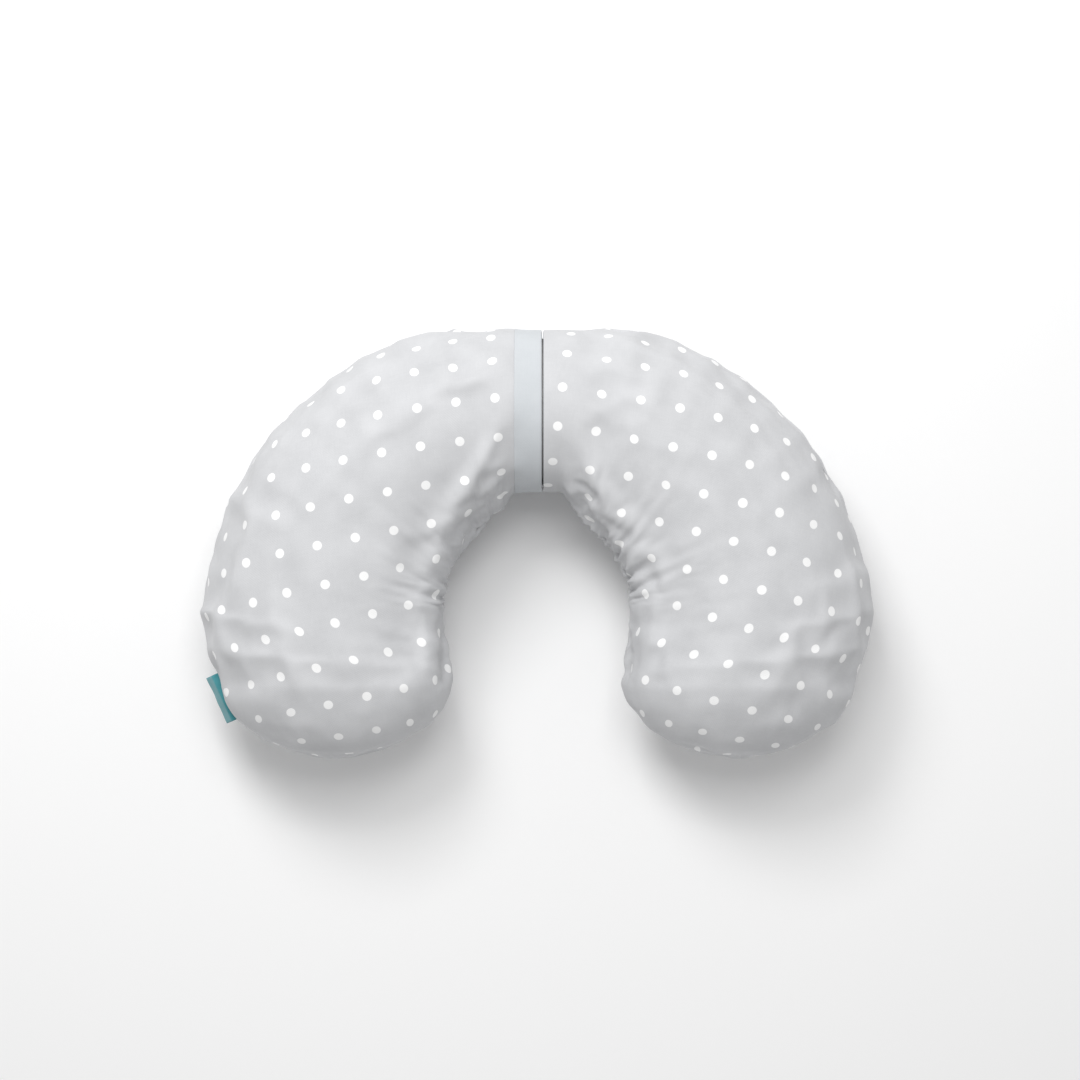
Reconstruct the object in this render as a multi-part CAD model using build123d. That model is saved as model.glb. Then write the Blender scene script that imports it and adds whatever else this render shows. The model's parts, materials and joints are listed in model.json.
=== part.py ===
from build123d import *
from math import cos, degrees, pi, radians, sin
import os

# A C-shaped nursing pillow lying flat. +Z is up, the open side faces -Y, and the origin is at
# the middle of the footprint on the floor. Lengths are in millimetres, angles in degrees.

# Pillow outline and section
overall_width = 600.0  # across both arms
overall_depth = 386.0  # back of the curve to the arm ends
middle_radius = 73.0  # round section at the middle of the curve
gap_half_width = 86.0  # from the centre to the inner side of an arm, at its widest
arm_half_height = 85.0  # fullest section, upright
seam_height = 83.0  # side seam above the floor
back_to_fullest = 241.0  # back of the curve to the widest line, on the outside
back_to_gap = 256.0  # and on the inside
outer_end_in = 16.0  # how far the outside has turned in where the rounded end starts
inner_end_in = 8.0
nose_depth = 66.0  # length of the rounded end, seen from above
nose_power = 1.8  # 2 is an ellipse; less is more pointed
nose_height_depth = 95.0  # length over which the end thins down to its seam
heightening_share = 0.4  # part of the arm over which it fills out upwards
inset_change_share = 0.3  # where the casing, tighter at the middle, fills the cover again
body_steps = 14  # sections along an arm
nose_steps = 9  # and round its end
last_nose_angle = 4.0

# Points that the outline passes, as shares of the way out and of the way forward from the
# straight middle to the widest line
outer_shape = ((0.35, 0.035), (0.66, 0.25), (0.885, 0.57))
inner_shape = ((0.47, 0.28), (0.84, 0.58))
outer_headings = (0, -110)  # at the straight middle and at the rounded end
inner_headings = (-45, -95)

# Cloth layers
cover_cloth = 1.0
casing_cloth = 0.8
cover_gap = 1.0  # between cover and casing on the arms
filling_gap = 0.3

# Placket band and zip, round the middle of the pillow
zip_offset = 5.0  # zip line to the right of the middle
band_width = 25.0  # left of the zip line
slit_width = 1.5
zip_length = 250.0  # along the tape, between the stops
beyond_zip = 2.0  # straight stretch of the middle past the band or tape, whichever is wider
zip_parked_angle = -33.0  # slider of the closed zip: 0 is straight back, 90 is straight up
tape_width = 13.0
tape_thickness = 0.6
coil_width = 2.2
coil_height = 2.0
stop_length = 3.0
stop_overhang = 0.9  # a stop is this much wider than the coil
end_room = 2.0  # slit beyond each stop
slider_length = 11.0
slider_wall = 1.1
slider_floor = 1.5
slider_clearance = 0.35
slider_casing_gap = 0.8
neck_thickness = 0.9
neck_length = 4.5
pivot_rise = 2.2  # puller's pivot above the cloth
pin_radius = 0.7
pin_clearance = 0.08
eye_radius = 1.6
ear_gap = 0.3
ear_thickness = 0.8
pull_length = 24.0
pull_width = 5.5
pull_tip_width = 4.0
pull_thickness = 1.2
pull_hole_radius = 1.1
end_gap = 0.5  # between the slider and a stop at either end of its travel
sink = 0.3  # how far a stem runs into the piece that it grows out of

# Side tag, folded over and caught in the left arm's outer seam
tag_length = 45.0
tag_reach = 16.0
tag_thickness = 1.2
tag_droop = 65.0  # below level, as it hangs
tag_before_end = 12.0  # how much of the tag is sewn on before the rounded end starts
tag_root = 1.0  # least width of the strip between the cover and the fold line
tag_fold_gap = 0.05  # keeps the turning flap off the strip

far = 2000.0  # larger than anything here
middle_y = overall_depth / 2 - middle_radius
band_reach = band_width - zip_offset
tape_reach = zip_offset + slit_width / 2 + tape_width
middle_half_length = max(band_reach, tape_reach) + beyond_zip
tape_radius = middle_radius - cover_cloth
coil_radius = tape_radius - tape_thickness
slider_top_radius = coil_radius - slider_clearance
channel_radius = coil_radius - coil_height - slider_clearance
slider_radius = channel_radius - slider_floor
casing_radius = slider_radius - slider_casing_gap
pivot_radius = middle_radius + pivot_rise


def heading(angle):
    """Direction in plan: 0 is straight out, -90 straight forward."""
    return Vector(cos(radians(angle)), sin(radians(angle)))


def side_curve(start, fullest, shape, end, headings):
    """Outline of one side of the right arm, from the straight middle to the rounded end."""
    points = [start]
    for across, forward in shape:
        x = start.X + (fullest.X - start.X) * across
        y = start.Y + (fullest.Y - start.Y) * forward
        points.append(Vector(x, y))
    return Spline(points + [fullest, end], tangents=[heading(angle) for angle in headings])


back_y = overall_depth / 2
end_y = nose_depth - overall_depth / 2  # where the rounded ends start
outer_side = side_curve(
    Vector(middle_half_length, back_y),
    Vector(overall_width / 2, back_y - back_to_fullest),
    outer_shape,
    Vector(overall_width / 2 - outer_end_in, end_y),
    outer_headings,
)
inner_side = side_curve(
    Vector(middle_half_length, middle_y - middle_radius),
    Vector(gap_half_width, back_y - back_to_gap),
    inner_shape,
    Vector(gap_half_width - inner_end_in, end_y),
    inner_headings,
)


def rounded_end(from_tip, depth, power):
    """Share of the full size at a distance from the tip of a rounded end."""
    if from_tip >= depth:
        return 1.0
    return (1 - (1 - from_tip / depth) ** power) ** (1 / power)


def body_section(share):
    """Plane, half-width and half-height part-way along the right arm, before its end.

    The plane's first axis points out and its second up.
    """
    outer = outer_side @ share
    inner = inner_side @ share
    outward = (outer - inner).normalized()
    forward = (outward.Y, -outward.X, 0)
    middle = (outer + inner) * 0.5
    end_middle_x = (overall_width / 2 - outer_end_in + gap_half_width - inner_end_in) / 2
    to_end = (Vector(end_middle_x, end_y) - middle).length
    rise = sin(pi / 2 * min(1.0, share / heightening_share))
    height = middle_radius + (arm_half_height - middle_radius) * rise
    height *= rounded_end(nose_depth + to_end, nose_height_depth, 2)
    plane = Plane(origin=(middle.X, middle.Y, seam_height), x_dir=outward, z_dir=forward)
    return plane, (outer - inner).length / 2, height


def nose_section(from_tip, setback):
    """The same for the rounded end, whose tip is set back for an inner layer."""
    outer_x = overall_width / 2 - outer_end_in
    inner_x = gap_half_width - inner_end_in
    width = (outer_x - inner_x) / 2 * rounded_end(from_tip, nose_depth, nose_power)
    height = arm_half_height * rounded_end(from_tip, nose_height_depth, 2)
    origin = ((outer_x + inner_x) / 2, from_tip + setback - overall_depth / 2, seam_height)
    return Plane(origin=origin, x_dir=(1, 0, 0), z_dir=(0, -1, 0)), width, height


def arc(half_width, half_height, start, size):
    if half_width == half_height:
        return CenterArc((0, 0), half_width, start, size)
    return EllipticalCenterArc((0, 0), half_width, half_height, start, arc_size=size)


def oval(plane, half_width, half_height):
    """Elliptical section, split at its lowest and highest points."""
    outer = arc(half_width, half_height, -90, 180)
    inner = arc(half_width, half_height, 90, 180)
    return plane * make_face([outer, inner])


def above(height):
    """Everything above a level."""
    return Pos(0, 0, height) * Box(far, far, far, align=(Align.CENTER, Align.CENTER, Align.MIN))


def arm_solid(inset, middle_inset, low_x):
    """The right arm with the straight middle from low_x on, inset from the cover's outside."""
    start = Plane(origin=(low_x, middle_y, seam_height), x_dir=(0, 1, 0), z_dir=(1, 0, 0))
    radius = middle_radius - middle_inset
    sections = [oval(start, radius, radius)]
    for step in range(body_steps):
        share = step / body_steps
        plane, width, height = body_section(share)
        settled = min(1.0, share / inset_change_share)
        depth = middle_inset + (inset - middle_inset) * settled
        sections.append(oval(plane, width - depth, height - depth))
    for step in range(nose_steps, -1, -1):
        angle = radians(last_nose_angle) if step == 0 else pi / 2 * step / nose_steps
        plane, width, height = nose_section(nose_depth * (1 - cos(angle)), inset)
        depth = inset * min(1.0, height / middle_radius)
        sections.append(oval(plane, width - depth, height - depth))
    slices = [loft(pair, ruled=True) for pair in zip(sections, sections[1:])]
    return slices[0].fuse(*slices[1:]) & above(inset)


def below(height):
    return Pos(0, 0, height) * Box(far, far, far, align=(Align.CENTER, Align.CENTER, Align.MAX))


def with_left(right):
    """Both sides as one solid, from the right side as far as the middle."""
    return right + mirror(right, about=Plane.YZ)


def middle_bar(radius, low_x, high_x):
    """A round bar along X through the middle of the pillow."""
    bar = Cylinder(radius, high_x - low_x, align=(Align.CENTER, Align.CENTER, Align.MIN))
    return Pos(low_x, middle_y, seam_height) * Rot(0, 90, 0) * bar


def middle_ring(outer, inner, low_x, high_x):
    return middle_bar(outer, low_x, high_x) - middle_bar(inner, low_x - 1, high_x + 1)


def middle_plane(x):
    """Plane across the middle, on its centre: first axis straight back, second up."""
    return Plane(origin=(x, middle_y, seam_height), x_dir=(0, 1, 0), z_dir=(1, 0, 0))


def middle_arc(outer, inner, low_x, high_x, low_angle, high_angle):
    """A stretch of a ring round the middle. 0 degrees is straight back, 90 straight up."""

    def at(radius, angle):
        return radius * cos(radians(angle)), radius * sin(radians(angle))

    half_way = (low_angle + high_angle) / 2
    edges = [
        ThreePointArc(at(inner, low_angle), at(inner, half_way), at(inner, high_angle)),
        Line(at(inner, high_angle), at(outer, high_angle)),
        ThreePointArc(at(outer, high_angle), at(outer, half_way), at(outer, low_angle)),
        Line(at(outer, low_angle), at(inner, low_angle)),
    ]
    return extrude(middle_plane(low_x) * make_face(edges), high_x - low_x)


def coil_degrees(length):
    """Angle that a length along the zip's coil takes up."""
    return degrees(length / coil_radius)


# Round the middle, the zip runs from its bottom stop low at the front, over the top, to the
# parked slider low at the back.
slider_half_angle = degrees(slider_length / 2 / slider_radius)
top_stop_high = zip_parked_angle - slider_half_angle - coil_degrees(end_gap)
top_stop_low = top_stop_high - coil_degrees(stop_length)
bottom_stop_low = top_stop_high + coil_degrees(zip_length)
bottom_stop_high = bottom_stop_low + coil_degrees(stop_length)
slit_low = top_stop_low - coil_degrees(end_room)
slit_high = bottom_stop_high + coil_degrees(end_room)
slider_travel = bottom_stop_low - coil_degrees(end_gap) - slider_half_angle - zip_parked_angle


def slit():
    """The gap that the slider's neck runs in."""
    low_x = zip_offset - slit_width / 2
    high_x = zip_offset + slit_width / 2
    return middle_arc(middle_radius + 1, casing_radius, low_x, high_x, slit_low, slit_high)


def arm_shell(low_x):
    """The right arm's cover, top and bottom together."""
    return arm_solid(0, 0, low_x) - arm_solid(cover_cloth, cover_cloth, low_x - 1)


def cover_panels():
    """Four printed panels: top and bottom on each side of the band."""
    right = arm_shell(zip_offset) - slit()
    left = mirror(arm_shell(band_reach), about=Plane.YZ)
    return {
        "cover_right_top": right & above(seam_height),
        "cover_right_bottom": right & below(seam_height),
        "cover_left_top": left & above(seam_height),
        "cover_left_bottom": left & below(seam_height),
    }


def placket_band():
    """The plain strip beside the zip, which turns under along the slit."""
    low_x = zip_offset - band_width
    return middle_ring(middle_radius, tape_radius, low_x, zip_offset) - slit()


def beside_zip(side, outer, inner, reach, low_angle, high_angle):
    """An arc that starts at the slit's edge: side is -1 for left, 1 for right."""
    near = slit_width / 2
    low_x, high_x = sorted((zip_offset + side * near, zip_offset + side * (near + reach)))
    return middle_arc(outer, inner, low_x, high_x, low_angle, high_angle)


def zip_tape(side):
    return beside_zip(side, tape_radius, coil_radius, tape_width, slit_low, slit_high)


def zip_coil(side):
    inner = coil_radius - coil_height
    return beside_zip(side, coil_radius, inner, coil_width, top_stop_high, bottom_stop_low)


def zip_top_stop(side):
    inner = coil_radius - coil_height
    reach = coil_width + stop_overhang
    return beside_zip(side, coil_radius, inner, reach, top_stop_low, top_stop_high)


def zip_bottom_stop():
    """The clip that joins both coils at the open end of the slider's travel."""
    reach = slit_width / 2 + coil_width + stop_overhang
    low_x = zip_offset - reach
    high_x = zip_offset + reach
    inner = coil_radius - coil_height
    return middle_arc(coil_radius, inner, low_x, high_x, bottom_stop_low, bottom_stop_high)


def zip_slider():
    """Channel round both coils from below, with a neck that stands out through the slit."""
    channel_half = slit_width / 2 + coil_width + slider_clearance
    half_width = channel_half + slider_wall
    low_angle = zip_parked_angle - slider_half_angle
    high_angle = zip_parked_angle + slider_half_angle
    body = middle_arc(
        slider_top_radius,
        slider_radius,
        zip_offset - half_width,
        zip_offset + half_width,
        low_angle,
        high_angle,
    )
    body -= middle_arc(
        slider_top_radius + 1,
        channel_radius,
        zip_offset - channel_half,
        zip_offset + channel_half,
        low_angle - 1,
        high_angle + 1,
    )
    foot = channel_radius - sink
    at_foot = (Align.MIN, Align.CENTER)
    outline = Pos(foot, 0) * Rectangle(middle_radius - foot, neck_length, align=at_foot)
    outline += Pos(foot, 0) * Rectangle(pivot_radius - foot, 2 * eye_radius, align=at_foot)
    outline += Pos(pivot_radius, 0) * Circle(eye_radius)
    outline -= Pos(pivot_radius, 0) * Circle(pin_radius + pin_clearance)
    placed = middle_plane(zip_offset - neck_thickness / 2) * Rot(0, 0, zip_parked_angle) * outline
    return body + extrude(placed, neck_thickness)


def zip_pull():
    """Flat pull with two ears and a pin through the neck, hanging straight down."""
    ear_middle = neck_thickness / 2 + ear_gap + ear_thickness / 2
    root = eye_radius + ear_gap
    end = pull_length - pull_tip_width / 2
    plate = make_face(
        Polyline(
            (-pull_width / 2, -root),
            (pull_width / 2, -root),
            (pull_tip_width / 2, -end),
            (-pull_tip_width / 2, -end),
            close=True,
        )
    )
    plate += Pos(0, -end) * Circle(pull_tip_width / 2)
    plate -= Pos(0, -end) * Circle(pull_hole_radius)
    face = Plane(origin=(0, pull_thickness / 2, 0), x_dir=(1, 0, 0), z_dir=(0, -1, 0))
    pull = extrude(face * plate, pull_thickness)
    for side in (-1, 1):
        hanging = (Align.CENTER, Align.CENTER, Align.MAX)
        ear = Box(ear_thickness, pull_thickness, root + sink, align=hanging)
        knuckle = Rot(0, 90, 0) * Cylinder(pull_thickness, ear_thickness)
        pull += Pos(side * ear_middle, 0, 0) * (ear + knuckle)
    pull += Rot(0, 90, 0) * Cylinder(pin_radius, 2 * ear_middle + ear_thickness)
    pivot = middle_plane(zip_offset) * Rot(0, 0, zip_parked_angle) * Pos(pivot_radius, 0, 0)
    return Pos(*pivot.position) * pull


def casing_and_filling():
    """Plain bag inside the cover, in two panels, and the fibre that fills it."""
    middle_inset = middle_radius - casing_radius
    arm_inset = cover_cloth + cover_gap
    bag = arm_solid(arm_inset, middle_inset, 0)
    bag -= arm_solid(arm_inset + casing_cloth, middle_inset + casing_cloth, -1)
    fill_step = casing_cloth + filling_gap
    filling = arm_solid(arm_inset + fill_step, middle_inset + fill_step, 0)
    return {
        "casing_top": with_left(bag & above(seam_height)),
        "casing_bottom": with_left(bag & below(seam_height)),
        "fibre_filling": with_left(filling),
    }


def left_end_outline(from_tip):
    """Point on the left arm's outer seam, on its rounded end."""
    plane, width, _ = nose_section(from_tip, 0)
    point = plane.origin + plane.x_dir * width
    return Vector(-point.X, point.Y, seam_height)


def tag_plane():
    """Level plane on the tag's fold line: first axis along the line, second into the pillow."""
    start = outer_side.position_at(
        outer_side.length - tag_before_end, position_mode=PositionMode.LENGTH
    )
    outline = [Vector(-start.X, start.Y, seam_height)]
    from_tip = nose_depth
    while (outline[-1] - outline[0]).length < tag_length:
        outline.append(left_end_outline(from_tip))
        from_tip -= tag_length / 100
    edge = (outline[-1] - outline[0]).normalized()
    outward = Vector(edge.Y, -edge.X)
    middle = (outline[0] + outline[-1]) * 0.5
    bulge = max((point - middle).dot(outward) for point in outline)
    stand_off = bulge + tag_root + tag_thickness / 2 + tag_fold_gap
    return Plane(origin=middle + outward * stand_off, x_dir=edge, z_dir=(0, 0, 1)), stand_off


def side_tag():
    """The strip that the seam holds, and the flap that hangs from the fold line."""
    level, stand_off = tag_plane()
    inward = (Align.CENTER, Align.MIN, Align.CENTER)
    outward = (Align.CENTER, Align.MAX, Align.CENTER)
    off_line = tag_thickness / 2 + tag_fold_gap
    root = level * Pos(0, off_line, 0) * Box(
        tag_length, stand_off + middle_radius / 2, tag_thickness, align=inward
    )
    root -= mirror(arm_solid(0, 0, 0), about=Plane.YZ)
    flap = level * Rot(tag_droop, 0, 0) * Box(tag_length, tag_reach, tag_thickness, align=outward)
    return {"side_tag_root": root, "side_tag_flap": flap}


parts = {
    **cover_panels(),
    "placket_band": placket_band(),
    "zip_tape_left": zip_tape(-1),
    "zip_tape_right": zip_tape(1),
    "zip_coil_left": zip_coil(-1),
    "zip_coil_right": zip_coil(1),
    "zip_top_stops": Compound([zip_top_stop(-1), zip_top_stop(1)]),
    "zip_bottom_stop": zip_bottom_stop(),
    "zip_slider": zip_slider(),
    "zip_pull": zip_pull(),
    **casing_and_filling(),
    **side_tag(),
}

os.makedirs("parts", exist_ok=True)
for name, shape in parts.items():
    export_step(shape, f"parts/{name}.step")

pull_pivot = middle_plane(zip_offset) * Rot(0, 0, zip_parked_angle) * Pos(pivot_radius, 0, 0)
fold_line, _ = tag_plane()
print("zip axis", (zip_offset, middle_y, seam_height), "slider travel", round(slider_travel, 2))
print("pull pivot", pull_pivot.position)
print("tag fold line", fold_line.origin, fold_line.x_dir)
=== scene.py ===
import json
from math import cos, pi, radians, sin

import bmesh
import bpy
import numpy as np
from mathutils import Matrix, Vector, noise
from mathutils.bvhtree import BVHTree
from mathutils.geometry import interpolate_bezier


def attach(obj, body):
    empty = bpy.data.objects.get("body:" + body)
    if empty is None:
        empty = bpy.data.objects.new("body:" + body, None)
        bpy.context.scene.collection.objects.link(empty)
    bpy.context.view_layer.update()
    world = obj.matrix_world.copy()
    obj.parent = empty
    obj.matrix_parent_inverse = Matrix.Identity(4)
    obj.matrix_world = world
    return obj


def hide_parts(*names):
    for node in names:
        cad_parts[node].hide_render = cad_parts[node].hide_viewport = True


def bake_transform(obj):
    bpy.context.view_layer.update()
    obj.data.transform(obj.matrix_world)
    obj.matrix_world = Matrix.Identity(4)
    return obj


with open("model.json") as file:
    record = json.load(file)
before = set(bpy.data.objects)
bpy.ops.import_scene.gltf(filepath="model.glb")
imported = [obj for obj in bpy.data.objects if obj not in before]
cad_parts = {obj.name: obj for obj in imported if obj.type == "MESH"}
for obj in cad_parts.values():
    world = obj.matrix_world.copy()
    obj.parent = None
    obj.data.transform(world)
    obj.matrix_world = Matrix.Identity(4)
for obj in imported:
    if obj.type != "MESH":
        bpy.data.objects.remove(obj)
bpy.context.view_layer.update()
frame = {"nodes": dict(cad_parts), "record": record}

# Filled shape of the pillow.
# The cover is cut as curved panels, sewn along the sides and stuffed, so every piece of cloth
# follows one grid: stations along the arms, and points round each station's section.
spine_middle_y = 0.120
seam_height = 0.083
slit_x = 0.005
slit_half = 0.0006
beside_slit = 0.0009  # where the cloth is measured, just clear of the slit
band_x = -0.020
straight_half = 0.022
cover_nodes = (
    "cover_right_top", "cover_right_bottom", "cover_left_top", "cover_left_bottom", "placket_band"
)
arm_line = (
    ((0.022, 0.120), (0.102, 0.120), (0.193, 0.040), (0.193, -0.055)),
    ((0.193, -0.055), (0.193, -0.080), (0.181, -0.100), (0.181, -0.127)),
)
straight_from_y = -0.055
tip_y = -0.193
round_count = 128
half, quarter = round_count // 2, round_count // 4  # the inner seam's column and the crest's
line_points = 200
arm_step = 0.0048
nose_rings = 15
section_flatness = 1.22
ray_start = 0.19
farthest_cloth = 0.18


def tree_of(names):
    """All faces of some CAD nodes, to cast rays at."""
    points, faces = [], []
    for name in names:
        mesh = frame["nodes"][name].data
        base = len(points)
        points += [v.co.copy() for v in mesh.vertices]
        faces += [[base + i for i in p.vertices] for p in mesh.polygons]
    return BVHTree.FromPolygons(points, faces)


def arm_stations():
    """Points along the right arm's middle line, from the straight middle to near the tip."""
    line = []
    for segment in arm_line:
        knots = [Vector((x, y, seam_height)) for x, y in segment]
        line += interpolate_bezier(*knots, line_points)[:-1]
    start = Vector((*arm_line[-1][-1], seam_height))
    line.append(start)
    total = sum((b - a).length for a, b in zip(line, line[1:]))
    count = round(total / arm_step)
    stations, run, wanted = [], 0.0, 0.0
    for a, b in zip(line, line[1:]):
        step = (b - a).length
        while wanted <= run + step and len(stations) < count:
            along = (b - a).normalized() if b.y > straight_from_y else Vector((0, -1, 0))
            stations.append((a.lerp(b, (wanted - run) / step), along))
            wanted += total / count
        run += step
    for ring in range(nose_rings):
        y = start.y + (tip_y - start.y) * sin(pi / 2 * ring / nose_rings)
        stations.append((Vector((start.x, y, seam_height)), Vector((0, -1, 0))))
    return stations


def cover_grid():
    """Centres, headings and surface points of every station, from the left tip to the right."""
    tree = tree_of(cover_nodes)
    right = arm_stations()
    left = [(Vector((-c.x, c.y, c.z)), Vector((t.x, -t.y, 0))) for c, t in reversed(right)]
    across_band = [-0.0188, -0.0165, -0.0125, -0.0085, -0.0045, -0.001, 0.0015, 0.0032]
    past_slit = [0.0068, 0.0085, 0.012, 0.0155, 0.019]
    stops = [band_x] + across_band + [slit_x - beside_slit, slit_x + beside_slit] + past_slit
    middle = [(Vector((x, spine_middle_y, seam_height)), Vector((1, 0, 0))) for x in stops]
    stations = left + middle + right
    grid = np.zeros((len(stations), round_count, 3))
    for i, (centre, along) in enumerate(stations):
        outward = Vector((-along.y, along.x, 0))
        for j in range(round_count):
            turn = 2 * pi * j / round_count
            ray = (outward * cos(turn) * section_flatness + Vector((0, 0, sin(turn)))).normalized()
            hit = tree.ray_cast(centre + ray * ray_start, -ray)[0]
            if hit is None or (hit - centre).length > farthest_cloth:
                hit = tree.find_nearest(centre + ray * 0.01)[0]
            grid[i, j] = hit
    centres = np.array([c for c, _ in stations])
    headings = np.array([t for _, t in stations])
    return centres, headings, grid


centres, headings, grid = cover_grid()
count = len(centres)


# Cover cloth.
# The arms are cut a little more open than they are worn, so the cloth of the inner curve is
# pushed together into soft folds. Pressure of the filling keeps the rest tight.
fold_opened = 0.925
cloth_frames = 24
fold_depth = 0.0075
fold_gain = 1.7
swell_share = 0.30
fold_rounds, swell_rounds = 2, 30
held_half, held_fade = 0.026, 0.03
loose_hold, seam_hold, ground_hold = 0.03, 0.35, 0.8
ground_level = 0.003


def ramp(value, start, length):
    """0 up to the start, then rising evenly to 1 over the length."""
    return min(1, max(0, (value - start) / length))


def linked(name, data):
    """A new object in the scene."""
    obj = bpy.data.objects.new(name, data)
    bpy.context.scene.collection.objects.link(obj)
    return obj


def opened_out(points, share):
    """The same sections on a middle line that turns only this share of its real turning."""
    turned = np.arctan2(headings[:, 1], headings[:, 0])
    sides = points - centres[:, None, :]
    outward = np.stack([-headings[:, 1], headings[:, 0], 0 * turned], axis=1)
    reach = np.einsum("ijk,ik->ij", sides, outward)
    level = turned * share
    new_heading = np.stack([np.cos(level), np.sin(level), 0 * level], axis=1)
    new_outward = np.stack([-np.sin(level), np.cos(level), 0 * level], axis=1)
    steps = np.linalg.norm(np.diff(centres, axis=0), axis=1)
    half_way = (new_heading[1:] + new_heading[:-1]) / 2
    half_way /= np.linalg.norm(half_way, axis=1)[:, None]
    middle = int(np.argmin(abs(centres[:, 0])))
    line = np.zeros_like(centres)
    line[1:] = np.cumsum(half_way * steps[:, None], axis=0)
    line += centres[middle] - line[middle]
    result = line[:, None, :] + new_outward[:, None, :] * reach[..., None]
    result[..., 2] = points[..., 2]
    return result


def tube_faces(rings):
    """Quads between neighbouring stations, and a face over each end."""
    faces = []
    for i in range(rings - 1):
        for j in range(round_count):
            k = (j + 1) % round_count
            near, far = i * round_count, (i + 1) * round_count
            faces.append((near + j, near + k, far + k, far + j))
    faces.append(tuple(reversed(range(round_count))))
    faces.append(tuple(range((rings - 1) * round_count, rings * round_count)))
    return faces


def smoothed(values, rounds):
    """Values on the grid, evened out with their neighbours."""
    for _ in range(rounds):
        near = (np.roll(values, 1, 1) + np.roll(values, -1, 1)) / 4
        near[1:-1] += (values[2:] + values[:-2]) / 4
        near[0] = near[-1] = 0
        values = values * 0.5 + near * 0.5
    return values


def settle_cloth(points):
    """The cover after its cloth has settled over the filling, with every move capped."""
    mesh = bpy.data.meshes.new("settling_cover")
    *sides, first_end, last_end = tube_faces(count)
    faces = [tuple(reversed(f)) for f in sides] + [first_end, last_end]
    mesh.from_pydata([tuple(p) for p in points.reshape(-1, 3)], [], faces)
    obj = linked("settling_cover", mesh)
    obj.shape_key_add(name="Basis")
    rest = obj.shape_key_add(name="cut")
    rest.data.foreach_set("co", opened_out(points, fold_opened).reshape(-1))
    rest.value = 0
    hold = obj.vertex_groups.new(name="hold")
    for i in range(count):
        near_zip = 1 - ramp(abs(centres[i, 0] - slit_x), held_half, held_fade)
        least = 1 if i in (0, count - 1) else near_zip ** 2
        for j in range(round_count):
            weight = loose_hold
            if j in (0, half):
                weight = seam_hold
            if points[i, j, 2] < ground_level:
                weight = ground_hold
            weight = max(weight, least)
            hold.add([i * round_count + j], weight, "REPLACE")
    cloth = obj.modifiers.new("Cloth", "CLOTH")
    s = cloth.settings
    s.quality = 5
    s.mass = 0.08
    s.tension_stiffness = s.compression_stiffness = 12
    s.shear_stiffness = 4
    s.shrink_min = -0.012
    s.bending_stiffness = 0.25
    s.air_damping = 2
    s.use_pressure = True
    s.uniform_pressure_force = 2.2
    s.vertex_group_mass = "hold"
    s.pin_stiffness = 1
    s.rest_shape_key = rest
    s.effector_weights.gravity = 0
    cloth.collision_settings.use_collision = False
    cloth.point_cache.frame_start = 1
    cloth.point_cache.frame_end = cloth_frames
    for step in range(1, cloth_frames + 1):
        bpy.context.scene.frame_set(step)
    settled = obj.evaluated_get(bpy.context.evaluated_depsgraph_get()).to_mesh()
    out = np.zeros(len(settled.vertices) * 3)
    settled.vertices.foreach_get("co", out)
    bpy.context.scene.frame_set(1)
    bpy.data.objects.remove(obj)
    moved = out.reshape(points.shape) - points
    far = np.linalg.norm(moved, axis=2, keepdims=True)
    moved *= fold_depth * np.tanh(far / fold_depth) / np.maximum(far, 1e-9)
    moved = smoothed(moved, fold_rounds)
    broad = smoothed(moved, swell_rounds)
    return points + (moved - broad) * fold_gain + broad * swell_share


surface = settle_cloth(grid)


def outward_of(points):
    """Unit directions off the cloth, away from the middle line."""
    across = np.roll(points, -1, 1) - np.roll(points, 1, 1)
    ahead = np.gradient(points, axis=0)
    outward = np.cross(across, ahead)
    outward /= np.maximum(np.linalg.norm(outward, axis=2, keepdims=True), 1e-9)
    facing = np.einsum("ijk,ijk->ij", outward, points - centres[:, None, :]).mean()
    return outward * np.sign(facing)


# Fans of folds start at the inner seam, where the cloth has most to spare, and fade before
# the crest. Shorter ones run off the band and the zip.
fold_height = 0.0046
fold_slant = 0.030
broad_folds, fine_folds = 58, 120
drape_height = 0.0011
fold_floor = 0.004


def folded(points):
    """The cloth with its fans of folds and a slight unevenness all over."""
    outward = outward_of(points)
    result = points.copy()
    travel = np.concatenate([[0], np.cumsum(np.linalg.norm(np.diff(centres, axis=0), axis=1))])
    for i in range(2, count - 2):
        x, y = centres[i, :2]
        away = abs(x - slit_x) if y > 0.05 else 0.2
        bend = ramp(away, straight_half, 0.030) * ramp(y, -0.155, 0.06)
        beside = max(0, 1 - abs(away - 0.040) / 0.028) if y > 0.09 else 0
        for j in range(round_count):
            inner = max(0, 1 - abs(j - half) / (round_count * 0.27))
            upper = 1 if j <= half else -1
            slant = travel[i] + fold_slant * (1 - inner) * (1 if x > 0 else -1)
            spot = Vector((slant * broad_folds, (1 - inner) * 1.6, 11.0 + 3 * upper))
            ridge = 1 - abs(noise.noise(spot)) * 3.2
            spot = Vector((slant * fine_folds, (1 - inner) * 3.0, 27.0 + upper))
            fine = 1 - abs(noise.noise(spot)) * 3
            lift = fold_height * bend * inner ** 1.3 * (ridge * 0.75 + fine * 0.3)
            spot = Vector((points[i, j, 0] * 30, j * 0.16, 5.0))
            lift += fold_height * 0.8 * beside * noise.noise(spot) * 1.4
            spot = Vector(points[i, j])
            drape = noise.noise(spot * 21) + 0.4 * noise.noise(spot * 55)
            lift += drape_height * drape * ramp(away, straight_half, 0.02)
            if points[i, j, 2] > fold_floor:
                result[i, j] += outward[i, j] * lift
    return result


surface = folded(surface)

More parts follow.
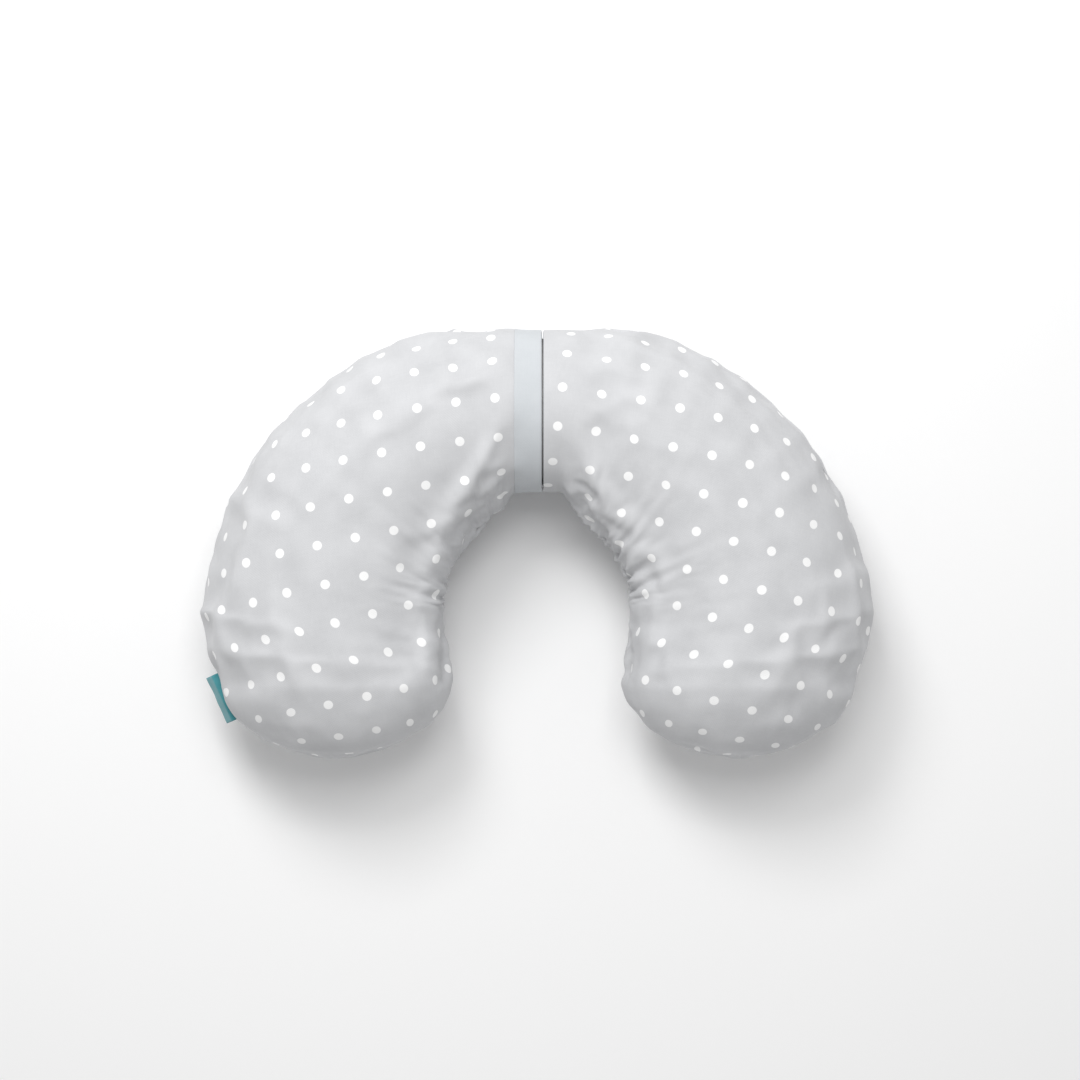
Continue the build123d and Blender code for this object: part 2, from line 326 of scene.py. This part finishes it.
# Side seams.
# Top and bottom panels meet in a plain seam round the outer and inner sides. The thread draws
# the seam in, so the cloth beside it puckers, most of all round the ends of the arms.
seam_draw = 0.0014
seam_shoulder = 0.0004
pucker_depth = 0.0020
pucker_reach = 0.020
puckers = 95


def puckered(points):
    """The cloth with its side seams drawn in."""
    outward = outward_of(points)
    result = points.copy()
    for i in range(1, count - 1):
        calm = ramp(abs(centres[i, 0] - slit_x), straight_half, 0.02)
        end = ramp(-centres[i, 1], 0.085, 0.06)
        for j in range(round_count):
            from_seam = min(j, round_count - j, abs(j - half))
            side = 0 if min(j, round_count - j) < abs(j - half) else half
            reach = np.linalg.norm(points[i, j] - points[i, side])
            near = max(0, 1 - reach / (pucker_reach * (1 + 0.9 * end)))
            spot = Vector(points[i, side]) * puckers
            wave = noise.noise(spot + Vector((0, 0, 4 if side else 0)))
            shift = pucker_depth * (0.8 + 1.5 * end) * wave * near * (1 - near * 0.3) * 1.6
            if from_seam == 0:
                shift -= seam_draw
            elif from_seam == 1:
                shift += seam_shoulder
            result[i, j] += outward[i, j] * shift * calm
    return result


surface = puckered(surface)

# Spare cloth stands out as small points on the back seam.
point_shares = {0: 1.0, 1: 0.45, round_count - 1: 0.45, 2: 0.12, round_count - 2: 0.12}
for place, height, spread in ((-0.073, 0.0085, 0.0045), (0.084, 0.0032, 0.0050)):
    at_back = surface[:, 0, 1] > spine_middle_y
    near = np.exp(-(((surface[:, 0, 0] - place) / spread) ** 2)) * at_back
    for column, share in point_shares.items():
        surface[:, column, 1] += height * near * share
surface[..., 2] = np.maximum(surface[..., 2], 0)


# Printed cover panels.
# Four panels of light cotton with white dots, a top and a bottom one on each side of the band.
# The print follows the flat cut: lengths along the crest, and round the section from it.
cloth_thickness = 0.0008
cut_opened = 0.90
dot_pitch = 0.0348
left_print = dict(lean=radians(-4), shift=(0.960, 0.224))
right_print = dict(lean=radians(7), shift=(0.091, 0.930))
slit_low, slit_high, slit_taper = -42.1, 166.5, 9
lip_turn, lip_drop = 0.0006, 0.0002


def open_share(turn):
    """How far the zip's slit is open at an angle round the middle: 0 closed, 1 open."""
    into = min(turn - slit_low, slit_high - turn)
    return min(1, max(0, into / slit_taper + 0.1))


def flat_cut(crest, lean, backwards):
    """Where every grid point lies on the flat cloth, counted from one crest or the other."""
    rings = range(count - 1, -1, -1) if backwards else range(count)
    place = np.zeros((count, round_count, 2))
    spot = np.zeros(2)
    before = None
    for i in rings:
        if before is not None:
            spot = spot + step_way * np.linalg.norm(grid[i, crest] - grid[before, crest])
        turned = np.arctan2(headings[i, 1], headings[i, 0]) * cut_opened + lean
        way = np.array([cos(turned), sin(turned)]) * (-1 if backwards else 1)
        side = np.array([-sin(turned), cos(turned)])
        if crest > half:
            side = -side
        place[i, crest] = spot
        for direction in (1, -1):
            run = 0
            for n in range(1, quarter + 1):
                j = (crest + direction * n) % round_count
                k = (crest + direction * (n - 1)) % round_count
                run += np.linalg.norm(grid[i, j] - grid[i, k])
                place[i, j] = spot - side * run * direction
        step_way = way
        before = i
    return place


def smooth(mesh):
    """Smooth shading on every face."""
    for polygon in mesh.polygons:
        polygon.use_smooth = True


def thick_panel(name, points, rows, columns, thickness, flat=None):
    """A closed sheet over part of the grid: its outside, its inside and its four edges."""
    width = columns[1] - columns[0] + 1
    whole_ring = width > round_count
    picks = [(columns[0] + n) % round_count for n in range(width)]
    patch = points[rows[0] : rows[1] + 1][:, picks]
    ahead = np.gradient(patch, axis=0)
    if whole_ring:
        wrapped = np.concatenate([patch[:, -2:-1], patch, patch[:, 1:2]], axis=1)
        across = np.gradient(wrapped, axis=1)[:, 1:-1]
    else:
        across = np.gradient(patch, axis=1)
    normal = np.cross(across, ahead)
    normal /= np.maximum(np.linalg.norm(normal, axis=2, keepdims=True), 1e-9)
    sides = patch - centres[rows[0] : rows[1] + 1, None]
    facing = np.sign(np.einsum("ijk,ijk->ij", normal, sides).mean())
    inner = patch - normal * thickness * facing
    n_rows = patch.shape[0]
    vertices = np.concatenate([patch.reshape(-1, 3), inner.reshape(-1, 3)])
    size = n_rows * width

    def at(i, j, layer):
        return layer * size + i * width + j

    faces = []
    for i in range(n_rows - 1):
        for j in range(width - 1):
            faces.append((at(i, j, 0), at(i + 1, j, 0), at(i + 1, j + 1, 0), at(i, j + 1, 0)))
            faces.append((at(i, j, 1), at(i, j + 1, 1), at(i + 1, j + 1, 1), at(i + 1, j, 1)))
    last = width - 1
    for i in range(n_rows - 1):
        faces.append((at(i, 0, 0), at(i, 0, 1), at(i + 1, 0, 1), at(i + 1, 0, 0)))
        faces.append((at(i, last, 0), at(i + 1, last, 0), at(i + 1, last, 1), at(i, last, 1)))
    last = n_rows - 1
    for j in range(width - 1):
        faces.append((at(0, j, 0), at(0, j + 1, 0), at(0, j + 1, 1), at(0, j, 1)))
        faces.append((at(last, j, 0), at(last, j, 1), at(last, j + 1, 1), at(last, j + 1, 0)))
    mesh = bpy.data.meshes.new(name)
    mesh.from_pydata([tuple(v) for v in vertices], [], faces)
    if flat is not None:
        layer = mesh.uv_layers.new(name="cut")
        spots = flat[rows[0] : rows[1] + 1][:, picks].reshape(-1, 2)
        for loop in mesh.loops:
            layer.data[loop.index].uv = spots[loop.vertex_index % size]
    work = bmesh.new()
    work.from_mesh(mesh)
    if whole_ring:
        rim = [f for f in work.faces if {v.index % width for v in f.verts} in ({0}, {width - 1})]
        bmesh.ops.delete(work, geom=rim, context="FACES_ONLY")
        bmesh.ops.remove_doubles(work, verts=work.verts[:], dist=1e-6)
    bmesh.ops.recalc_face_normals(work, faces=work.faces[:])
    work.to_mesh(mesh)
    work.free()
    smooth(mesh)
    obj = linked(name, mesh)
    smoother = obj.modifiers.new("Smoother", "SUBSURF")
    smoother.levels = smoother.render_levels = 1
    smoother.uv_smooth = "PRESERVE_BOUNDARIES"
    return obj


band_edge = int(np.argmin(abs(centres[:, 0] - band_x)))
slit_row = int(np.argmin(abs(centres[:, 0] - (slit_x - slit_half))))

# The cloth edges beside the slit turn under; past the zip's ends they close on each other.
for j in range(round_count):
    turn = (j * 360 / round_count + 90) % 360 - 90
    share = open_share(turn)
    for row, side in ((slit_row, -1), (slit_row + 1, 1)):
        surface[row, j, 0] = slit_x + side * slit_half * max(share, 0.02)
        radial = surface[row, j] - centres[row]
        surface[row, j] -= radial / np.linalg.norm(radial) * (lip_turn * share + lip_drop)

# The left panels run on under the band, whose folded edge lies on top of them.
band_surface = surface.copy()
for row, drop in ((band_edge + 1, 0.0012), (band_edge, 0.0005)):
    under = surface[row] - centres[row]
    surface[row] -= under / np.linalg.norm(under, axis=1)[:, None] * drop

upper, lower = (0, half), (half, round_count)
left, right = (0, band_edge + 1), (slit_row + 1, count - 1)
panels = {}
for name, rows, columns, crest, style in (
    ("cover_left_top", left, upper, quarter, left_print),
    ("cover_left_bottom", left, lower, half + quarter, left_print),
    ("cover_right_top", right, upper, quarter, right_print),
    ("cover_right_bottom", right, lower, half + quarter, right_print),
):
    cut = flat_cut(crest, style["lean"], backwards=rows == left)
    seam_row = band_edge if rows == left else slit_row + 1
    cut = (cut - cut[seam_row, crest]) / dot_pitch + np.array(style["shift"])
    panels[name] = thick_panel(name, surface, rows, columns, cloth_thickness, cut)
panels["placket_band"] = thick_panel(
    "placket_band", band_surface, (band_edge, slit_row), (0, round_count), cloth_thickness
)


def weave_group():
    """Plain weave: colour share, roughness and height of threads that cross at right angles."""
    group = bpy.data.node_groups.new("plain_weave", "ShaderNodeTree")
    face = group.interface
    face.new_socket("Position", in_out="INPUT", socket_type="NodeSocketVector")
    threads = face.new_socket("Threads per metre", in_out="INPUT", socket_type="NodeSocketFloat")
    threads.default_value = 2600
    slub = face.new_socket("Slub", in_out="INPUT", socket_type="NodeSocketFloat")
    slub.default_value = 0.5
    face.new_socket("Shade", in_out="OUTPUT", socket_type="NodeSocketFloat")
    face.new_socket("Roughness", in_out="OUTPUT", socket_type="NodeSocketFloat")
    face.new_socket("Height", in_out="OUTPUT", socket_type="NodeSocketFloat")
    nodes, link = group.nodes, group.links.new
    inside = nodes.new("NodeGroupInput")
    out = nodes.new("NodeGroupOutput")
    scaled = nodes.new("ShaderNodeVectorMath")
    scaled.operation = "SCALE"
    link(inside.outputs[0], scaled.inputs[0])
    link(inside.outputs[1], scaled.inputs["Scale"])
    split = nodes.new("ShaderNodeSeparateXYZ")
    link(scaled.outputs[0], split.inputs[0])
    waves = []
    for axis in range(2):
        wave = nodes.new("ShaderNodeMath")
        wave.operation = "SINE"
        link(split.outputs[axis], wave.inputs[0])
        waves.append(wave)
    crossing = nodes.new("ShaderNodeMath")
    crossing.operation = "MULTIPLY"
    link(waves[0].outputs[0], crossing.inputs[0])
    link(waves[1].outputs[0], crossing.inputs[1])
    streaks = []
    for along in ((900, 90, 90), (90, 900, 900)):
        stretched = nodes.new("ShaderNodeVectorMath")
        stretched.operation = "MULTIPLY"
        stretched.inputs[1].default_value = along
        link(inside.outputs[0], stretched.inputs[0])
        streak = nodes.new("ShaderNodeTexNoise")
        streak.inputs["Scale"].default_value = 1
        streak.inputs["Detail"].default_value = 3
        link(stretched.outputs[0], streak.inputs["Vector"])
        streaks.append(streak)
    yarn = nodes.new("ShaderNodeMix")
    yarn.data_type = "FLOAT"
    yarn.inputs["Factor"].default_value = 0.5
    link(streaks[0].outputs["Fac"], yarn.inputs["A"])
    link(streaks[1].outputs["Fac"], yarn.inputs["B"])
    cloud = nodes.new("ShaderNodeTexNoise")
    cloud.inputs["Scale"].default_value = 26
    cloud.inputs["Detail"].default_value = 4
    link(inside.outputs[0], cloud.inputs["Vector"])
    uneven = nodes.new("ShaderNodeMath")
    uneven.operation = "MULTIPLY_ADD"
    link(yarn.outputs["Result"], uneven.inputs[0])
    link(inside.outputs[2], uneven.inputs[1])
    link(cloud.outputs["Fac"], uneven.inputs[2])
    shade = nodes.new("ShaderNodeMapRange")
    shade.inputs["From Min"].default_value = 0.55
    shade.inputs["From Max"].default_value = 0.95
    shade.inputs["To Min"].default_value = 0.0
    shade.inputs["To Max"].default_value = 1.0
    link(uneven.outputs[0], shade.inputs[0])
    rough = nodes.new("ShaderNodeMapRange")
    rough.inputs["To Min"].default_value = 0.82
    rough.inputs["To Max"].default_value = 0.96
    link(yarn.outputs["Result"], rough.inputs[0])
    height = nodes.new("ShaderNodeMath")
    height.operation = "MULTIPLY_ADD"
    height.inputs[1].default_value = 0.6
    link(crossing.outputs[0], height.inputs[0])
    link(yarn.outputs["Result"], height.inputs[2])
    link(shade.outputs[0], out.inputs["Shade"])
    link(rough.outputs[0], out.inputs["Roughness"])
    link(height.outputs[0], out.inputs["Height"])
    return group


weave = weave_group()


def cloth_finish(name, light, dark, position="Object", threads=2600, bump=0.00012, sheen=0.15):
    """A woven cloth material; returns it with its colour mix and shader to build on."""
    material = bpy.data.materials.new(name)
    material.use_nodes = True
    nodes, link = material.node_tree.nodes, material.node_tree.links.new
    shader = nodes["Principled BSDF"]
    shader.inputs["Sheen Weight"].default_value = sheen
    shader.inputs["Sheen Roughness"].default_value = 0.6
    shader.inputs["Specular IOR Level"].default_value = 0.25
    where = nodes.new("ShaderNodeTexCoord")
    cloth = nodes.new("ShaderNodeGroup")
    cloth.node_tree = weave
    cloth.inputs["Threads per metre"].default_value = threads
    link(where.outputs[position], cloth.inputs["Position"])
    mix = nodes.new("ShaderNodeMix")
    mix.data_type = "RGBA"
    mix.inputs["A"].default_value = (*dark, 1)
    mix.inputs["B"].default_value = (*light, 1)
    link(cloth.outputs["Shade"], mix.inputs["Factor"])
    link(mix.outputs["Result"], shader.inputs["Base Color"])
    link(cloth.outputs["Roughness"], shader.inputs["Roughness"])
    relief = nodes.new("ShaderNodeBump")
    relief.inputs["Strength"].default_value = 0.5
    relief.inputs["Distance"].default_value = bump
    link(cloth.outputs["Height"], relief.inputs["Height"])
    link(relief.outputs["Normal"], shader.inputs["Normal"])
    return material, mix, shader


dot_radius, dot_edge = 0.00415, 0.0003
printed, ground, printed_shader = cloth_finish(
    "printed_cotton", (0.615, 0.620, 0.634), (0.545, 0.550, 0.563)
)
nodes, link = printed.node_tree.nodes, printed.node_tree.links.new
cut_map = nodes.new("ShaderNodeUVMap")
cut_map.uv_map = "cut"
in_metres = nodes.new("ShaderNodeVectorMath")
in_metres.operation = "SCALE"
in_metres.inputs["Scale"].default_value = dot_pitch
link(cut_map.outputs[0], in_metres.inputs[0])
printed_weave = next(n for n in nodes if n.bl_idname == "ShaderNodeGroup")
link(in_metres.outputs[0], printed_weave.inputs["Position"])
repeat = nodes.new("ShaderNodeVectorMath")
repeat.operation = "FRACTION"
link(cut_map.outputs[0], repeat.inputs[0])
from_dot = nodes.new("ShaderNodeVectorMath")
from_dot.operation = "DISTANCE"
from_dot.inputs[1].default_value = (0.5, 0.5, 0)
link(repeat.outputs[0], from_dot.inputs[0])
ink = nodes.new("ShaderNodeMapRange")
ink.inputs["From Min"].default_value = (dot_radius + dot_edge) / dot_pitch
ink.inputs["From Max"].default_value = (dot_radius - dot_edge) / dot_pitch
link(from_dot.outputs["Value"], ink.inputs[0])
dotted = nodes.new("ShaderNodeMix")
dotted.data_type = "RGBA"
dotted.inputs["B"].default_value = (0.90, 0.90, 0.90, 1)
link(ink.outputs[0], dotted.inputs["Factor"])
link(ground.outputs["Result"], dotted.inputs["A"])
link(dotted.outputs["Result"], printed_shader.inputs["Base Color"])

band_cloth, _, _ = cloth_finish("band_cotton", (0.575, 0.60, 0.622), (0.535, 0.56, 0.582))

for name, panel in panels.items():
    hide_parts(name)
    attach(panel, "pillow")
    if name == "placket_band":
        panel.name = "band_cloth"
        panel.data.materials.append(band_cloth)
    else:
        panel.name = name + "_cloth"
        panel.data.materials.append(printed)


# Inner casing and filling.
# A plain white cotton bag, a little smaller than the cover, holds the loose hollow fibre. It
# stays in place when the cover comes off.
casing_thickness = 0.0006
below_cover, below_cover_middle = 0.0026, 0.0070
below_casing, below_casing_middle = 0.0042, 0.0086


def inner_layer(outer, depth, middle_depth):
    """A surface drawn in towards the middle line and smoothed."""
    sides = outer - centres[:, None, :]
    reach = np.linalg.norm(sides, axis=2)
    calm = reach.copy()
    for _ in range(3):
        low = np.minimum(np.minimum(np.roll(calm, 1, 1), np.roll(calm, -1, 1)), calm)
        low[1:-1] = np.minimum(low[1:-1], np.minimum(low[2:], low[:-2]))
        calm = low
    for _ in range(3):
        calm = (np.roll(calm, 1, 1) + np.roll(calm, -1, 1) + 2 * calm) / 4
    from_middle = np.clip((abs(centres[:, 0]) - straight_half) / 0.05, 0, 1)[:, None]
    inset = middle_depth + (depth - middle_depth) * from_middle
    short = np.clip((calm - inset) / np.maximum(reach, 1e-6), 0.05, 1)
    result = centres[:, None, :] + sides * short[..., None]
    result[:, :, 1] = np.maximum(result[:, :, 1], tip_y + depth)
    return result


casing_cloth, _, _ = cloth_finish(
    "casing_cotton", (0.80, 0.80, 0.79), (0.74, 0.74, 0.73), threads=2200
)
filling_fibre, _, _ = cloth_finish(
    "hollow_fibre", (0.88, 0.88, 0.87), (0.78, 0.78, 0.77), threads=600, bump=0.0016
)
casing_surface = inner_layer(surface, below_cover, below_cover_middle)
for name, columns in (("casing_top", upper), ("casing_bottom", lower)):
    layer = thick_panel(name, casing_surface, (2, count - 3), columns, casing_thickness)
    layer.modifiers.clear()
    layer.data.materials.append(casing_cloth)
    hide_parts(name)
    layer.name = name + "_cloth"
    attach(layer, "pillow")

fibre_surface = inner_layer(casing_surface, below_casing, below_casing_middle)[3 : count - 3]
fibre = bpy.data.meshes.new("filling_fibre")
fibre.from_pydata(
    [tuple(p) for p in fibre_surface.reshape(-1, 3)], [], tube_faces(len(fibre_surface))
)
work = bmesh.new()
work.from_mesh(fibre)
bmesh.ops.recalc_face_normals(work, faces=work.faces[:])
work.to_mesh(fibre)
work.free()
smooth(fibre)
filling = linked("filling_fibre", fibre)
fibre.materials.append(filling_fibre)
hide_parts("fibre_filling")
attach(filling, "pillow")


# Zip.
# A concealed nylon zip: two woven tapes with a moulded coil along each inner edge, painted
# metal stops and a slider with a flat pull, parked low at the back.
tape_cloth, _, _ = cloth_finish(
    "tape_weave", (0.50, 0.53, 0.56), (0.44, 0.47, 0.50), threads=1800
)
for name in ("zip_tape_left", "zip_tape_right"):
    tape = frame["nodes"][name]
    tape.data.materials.clear()
    tape.data.materials.append(tape_cloth)


def flecked_finish(name, dark, light, rough, scale, detail=2, metallic=0):
    """A material whose colour and roughness vary a little from spot to spot."""
    material = bpy.data.materials.new(name)
    material.use_nodes = True
    nodes, link = material.node_tree.nodes, material.node_tree.links.new
    shader = nodes["Principled BSDF"]
    shader.inputs["Metallic"].default_value = metallic
    where = nodes.new("ShaderNodeTexCoord")
    flecks = nodes.new("ShaderNodeTexNoise")
    flecks.inputs["Scale"].default_value = scale
    flecks.inputs["Detail"].default_value = detail
    link(where.outputs["Object"], flecks.inputs["Vector"])
    tone = nodes.new("ShaderNodeMix")
    tone.data_type = "RGBA"
    tone.inputs["A"].default_value = (*dark, 1)
    tone.inputs["B"].default_value = (*light, 1)
    link(flecks.outputs["Fac"], tone.inputs["Factor"])
    link(tone.outputs["Result"], shader.inputs["Base Color"])
    gloss = nodes.new("ShaderNodeMapRange")
    gloss.inputs["To Min"].default_value = rough[0]
    gloss.inputs["To Max"].default_value = rough[1]
    link(flecks.outputs["Fac"], gloss.inputs[0])
    link(gloss.outputs[0], shader.inputs["Roughness"])
    return material


nylon = flecked_finish("coil_nylon", (0.34, 0.35, 0.37), (0.42, 0.43, 0.45), (0.34, 0.5), 900)
zip_metal = flecked_finish(
    "zip_metal", (0.44, 0.45, 0.47), (0.56, 0.57, 0.59), (0.28, 0.5), 700, detail=6, metallic=0.75
)
for name in ("zip_slider", "zip_pull", "zip_top_stops", "zip_bottom_stop"):
    metal = frame["nodes"][name]
    metal.data.materials.clear()
    metal.data.materials.append(zip_metal)

coil_pitch = 0.0013
coil_arc_radius = 0.0704
coil_low, coil_high = -38.0, 162.4
coil_offset = 0.00183
loop_width, loop_height, filament_radius = 0.0019, 0.0014, 0.00033
guide_steps = 160


def coil_tree():
    """Loops of filament, one for each pitch along the tape's edge."""
    tree = bpy.data.node_groups.new("coil_loops", "GeometryNodeTree")
    face = tree.interface
    face.new_socket("Geometry", in_out="INPUT", socket_type="NodeSocketGeometry")
    face.new_socket("Loops", in_out="INPUT", socket_type="NodeSocketInt")
    for label in ("Loop width", "Loop height", "Filament"):
        face.new_socket(label, in_out="INPUT", socket_type="NodeSocketFloat")
    face.new_socket("Finish", in_out="INPUT", socket_type="NodeSocketMaterial")
    face.new_socket("Geometry", in_out="OUTPUT", socket_type="NodeSocketGeometry")
    nodes, link = tree.nodes, tree.links.new
    inside = nodes.new("NodeGroupInput")
    out = nodes.new("NodeGroupOutput")
    to_curve = nodes.new("GeometryNodeMeshToCurve")
    link(inside.outputs["Geometry"], to_curve.inputs["Mesh"])
    points = nodes.new("GeometryNodeCurveToPoints")
    points.mode = "COUNT"
    link(to_curve.outputs[0], points.inputs["Curve"])
    link(inside.outputs["Loops"], points.inputs["Count"])
    ring = nodes.new("GeometryNodeCurvePrimitiveCircle")
    ring.inputs["Resolution"].default_value = 12
    ring.inputs["Radius"].default_value = 0.5
    sized = nodes.new("GeometryNodeTransform")
    scale = nodes.new("ShaderNodeCombineXYZ")
    scale.inputs["Z"].default_value = 1
    link(inside.outputs["Loop width"], scale.inputs["X"])
    link(inside.outputs["Loop height"], scale.inputs["Y"])
    link(ring.outputs["Curve"], sized.inputs["Geometry"])
    link(scale.outputs[0], sized.inputs["Scale"])
    thread = nodes.new("GeometryNodeCurvePrimitiveCircle")
    thread.inputs["Resolution"].default_value = 6
    link(inside.outputs["Filament"], thread.inputs["Radius"])
    solid = nodes.new("GeometryNodeCurveToMesh")
    link(sized.outputs[0], solid.inputs["Curve"])
    link(thread.outputs["Curve"], solid.inputs["Profile Curve"])
    place = nodes.new("GeometryNodeInstanceOnPoints")
    link(points.outputs["Points"], place.inputs["Points"])
    link(points.outputs["Rotation"], place.inputs["Rotation"])
    link(solid.outputs[0], place.inputs["Instance"])
    real = nodes.new("GeometryNodeRealizeInstances")
    link(place.outputs[0], real.inputs[0])
    finish = nodes.new("GeometryNodeSetMaterial")
    link(real.outputs[0], finish.inputs["Geometry"])
    link(inside.outputs["Finish"], finish.inputs["Material"])
    link(finish.outputs[0], out.inputs[0])
    return tree


coils = coil_tree()
sockets = [item for item in coils.interface.items_tree if item.in_out == "INPUT"]
socket_of = {item.name: item.identifier for item in sockets}
for side, name in ((-1, "zip_coil_left"), (1, "zip_coil_right")):
    path = []
    for step in range(guide_steps + 1):
        turn = radians(coil_low + (coil_high - coil_low) * step / guide_steps)
        y = spine_middle_y + coil_arc_radius * cos(turn)
        path.append((slit_x + side * coil_offset, y, seam_height + coil_arc_radius * sin(turn)))
    guide = bpy.data.meshes.new(name + "_guide")
    guide.from_pydata(path, [(n, n + 1) for n in range(guide_steps)], [])
    holder = linked(name + "_guide", guide)
    loops = holder.modifiers.new("Coil", "NODES")
    loops.node_group = coils
    length = coil_arc_radius * radians(coil_high - coil_low)
    loops[socket_of["Loops"]] = round(length / coil_pitch)
    loops[socket_of["Loop width"]] = loop_width
    loops[socket_of["Loop height"]] = loop_height
    loops[socket_of["Filament"]] = filament_radius
    loops[socket_of["Finish"]] = nylon
    made = bpy.data.meshes.new_from_object(
        holder.evaluated_get(bpy.context.evaluated_depsgraph_get())
    )
    bpy.data.objects.remove(holder)
    smooth(made)
    coil = linked(name + "_loops", made)
    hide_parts(name)
    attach(coil, "pillow")


# Side tag.
# A turquoise woven ribbon, folded over at its outer end and caught in the left arm's outer
# seam. The part past the fold line beside the seam hangs down.
joint = next(j for j in frame["record"]["behaviour"]["joints"] if j["name"] == "tag_fold")
fold_spot = Vector(joint["pos_m"])
fold_way = Vector(joint["axis"]).normalized()
upward = Vector((0, 0, 1))
tag_inward = upward.cross(fold_way)
tag_half, tag_columns = 0.0225, 25
tag_reach, tag_root, tag_steps = 0.0158, 0.0080, 22
tag_droop = radians(65)
bend_half, bend_length = 0.0022, 0.0050
ribbon_half = 0.00057
edge_length = 0.0012
ripple_height = 0.0007


def tag_point(along, out, lift):
    """A point on the tag: out from the fold line, lifted off the ribbon's middle."""
    turn = tag_droop * ramp(out, -bend_half, bend_length)
    droop = tag_droop if out > 0 else 0
    spot = fold_spot - tag_inward * (out * cos(droop)) - upward * (out * sin(droop))
    up = upward * cos(turn) - tag_inward * sin(turn)
    ripple = noise.noise(Vector((along * 70, out * 60, 3))) * ripple_height * ramp(out, 0, 0.01)
    return spot + fold_way * along + up * (lift + ripple)


outline = []
for n in range(tag_steps + 1):
    out = -tag_root + (tag_reach + tag_root) * n / tag_steps
    closing = ramp(out - tag_reach, -edge_length, edge_length)
    outline.append((out, ribbon_half * (1 - closing * 0.15)))
rounded = [(tag_reach + 0.0005 * cos(a), 0.00055 * sin(a)) for a in (pi / 3, 0, -pi / 3)]
outline += rounded + [(out, -lift) for out, lift in reversed(outline)]

ribbon = bmesh.new()
rows = []
for n in range(tag_columns):
    along = -tag_half + 2 * tag_half * n / (tag_columns - 1)
    rows.append([ribbon.verts.new(tag_point(along, out, lift)) for out, lift in outline])
for row, following in zip(rows, rows[1:]):
    for m in range(len(outline)):
        k = (m + 1) % len(outline)
        ribbon.faces.new((row[m], following[m], following[k], row[k]))
for row in (rows[0], rows[-1]):
    ribbon.faces.new(row)
bmesh.ops.recalc_face_normals(ribbon, faces=ribbon.faces[:])
tag_mesh = bpy.data.meshes.new("side_tag_ribbon")
ribbon.to_mesh(tag_mesh)
ribbon.free()
tag = linked("side_tag_ribbon", tag_mesh)
for polygon in tag_mesh.polygons:
    polygon.use_smooth = len(polygon.vertices) == 4
tag_cloth, _, _ = cloth_finish(
    "tag_weave", (0.075, 0.33, 0.37), (0.05, 0.25, 0.285), threads=1500, sheen=0.3
)
tag_mesh.materials.append(tag_cloth)
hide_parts("side_tag_root", "side_tag_flap")
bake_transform(tag)


# Floor, light and camera.
# A plain pale floor under soft daylight that falls from behind the pillow.
floor_mesh = bpy.data.meshes.new("floor")
floor_mesh.from_pydata([(-4, -4, 0), (4, -4, 0), (4, 4, 0), (-4, 4, 0)], [], [(0, 1, 2, 3)])
floor = linked("floor", floor_mesh)
pale = bpy.data.materials.new("pale_floor")
pale.use_nodes = True
pale_shader = pale.node_tree.nodes["Principled BSDF"]
pale_shader.inputs["Base Color"].default_value = (0.92, 0.92, 0.92, 1)
pale_shader.inputs["Roughness"].default_value = 0.9
floor_mesh.materials.append(pale)

world = bpy.data.worlds.new("studio")
world.use_nodes = True
sky = world.node_tree.nodes["Background"]
sky.inputs["Color"].default_value = (1, 1, 1, 1)
sky.inputs["Strength"].default_value = 0.48
bpy.context.scene.world = world
for name, place, power, size in (
    ("window", (-0.55, 1.30, 1.80), 24, 0.8),
    ("ceiling", (0.1, 0.9, 2.4), 20, 1.0),
):
    lamp = bpy.data.lights.new(name, "AREA")
    lamp.energy = power
    lamp.size = size
    holder = linked(name, lamp)
    holder.location = place
    holder.rotation_euler = (-Vector(place)).to_track_quat("-Z", "Y").to_euler()

camera_data = bpy.data.cameras.new("camera")
camera = linked("camera", camera_data)
camera_height, shown_width, sensor_width = 2.6, 0.972, 36
camera_data.sensor_width = sensor_width
camera_data.lens = sensor_width * (camera_height - seam_height) / shown_width
camera.location = (0.0027, 0.004, camera_height)
camera.rotation_euler = (0, 0, 0)
bpy.context.scene.camera = camera
bpy.context.scene.view_settings.view_transform = "Standard"
